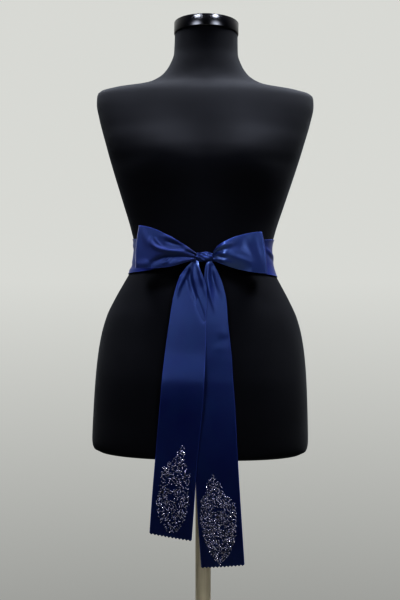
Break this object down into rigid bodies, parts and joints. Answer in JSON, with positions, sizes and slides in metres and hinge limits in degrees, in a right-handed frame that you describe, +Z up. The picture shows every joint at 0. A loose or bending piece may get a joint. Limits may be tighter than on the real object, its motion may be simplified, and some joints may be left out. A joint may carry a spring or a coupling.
{
  "type": "satin sash on a dress form",
  "caption": "Wide satin ribbon sash tied in a bow round the waist of a limbless dress form on a pole stand, with beaded, pinked tail ends.",
  "frame": {"origin": "on the floor, under the middle of the round foot", "axes": "+Z up along the pole, -Y towards the front, where the bow is, and +X to the right as seen from the front"},
  "size_m": [0.3857, 0.32, 1.4843],
  "materials": {
    "steel": "polished",
    "form_cover": "matte",
    "cap": "satin",
    "satin": "satin"
  },
  "bodies": {
    "root": {"base": "steel", "pole": "steel", "torso_plate": "steel", "torso": "form_cover", "neck_cap": "cap", "waist_band": "satin", "loop_left": "satin", "loop_right": "satin", "knot": "satin", "tail_left": "satin", "tail_right": "satin"}
  },
  "joints": []
}
